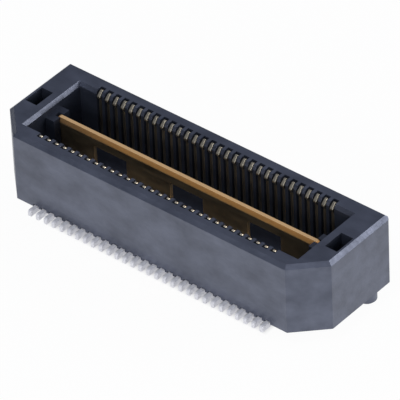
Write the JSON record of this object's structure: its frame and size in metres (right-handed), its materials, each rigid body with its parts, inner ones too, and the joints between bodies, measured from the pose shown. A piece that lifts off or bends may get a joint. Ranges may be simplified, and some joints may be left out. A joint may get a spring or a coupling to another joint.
{
  "type": "board to board connector",
  "caption": "Surface-mount board-to-board header: sprung contacts along both walls of an open shroud, with a ground blade down the middle.",
  "frame": {"origin": "centre of the connector in plan, on the face of the circuit board, where the solder tails rest", "axes": "+X along the contact rows, +Y across them towards the side with the board pegs, +Z out of the mating side"},
  "size_m": [0.02, 0.007, 0.005],
  "materials": {
    "housing_plastic": "dark blue-grey moulded liquid crystal polymer, matt with a fine flow grain",
    "contact_metal": "copper alloy, matt tin on the tails and a thin gold on the beams",
    "blade_metal": "copper alloy sheet with a thin gold plating"
  },
  "bodies": {
    "root": {"housing": "housing_plastic", "ground_plane": "blade_metal", "contact_pair_01": "contact_metal", "contact_pair_02": "contact_metal", "contact_pair_03": "contact_metal", "contact_pair_04": "contact_metal", "contact_pair_05": "contact_metal", "contact_pair_06": "contact_metal", "contact_pair_07": "contact_metal", "contact_pair_08": "contact_metal", "contact_pair_09": "contact_metal", "contact_pair_10": "contact_metal", "contact_pair_11": "contact_metal", "contact_pair_12": "contact_metal", "contact_pair_13": "contact_metal", "contact_pair_14": "contact_metal", "contact_pair_15": "contact_metal", "contact_pair_16": "contact_metal", "contact_pair_17": "contact_metal", "contact_pair_18": "contact_metal", "contact_pair_19": "contact_metal", "contact_pair_20": "contact_metal", "contact_pair_21": "contact_metal", "contact_pair_22": "contact_metal", "contact_pair_23": "contact_metal", "contact_pair_24": "contact_metal", "contact_pair_25": "contact_metal", "contact_pair_26": "contact_metal", "contact_pair_27": "contact_metal", "contact_pair_28": "contact_metal", "contact_pair_29": "contact_metal", "contact_pair_30": "contact_metal"}
  },
  "joints": []
}
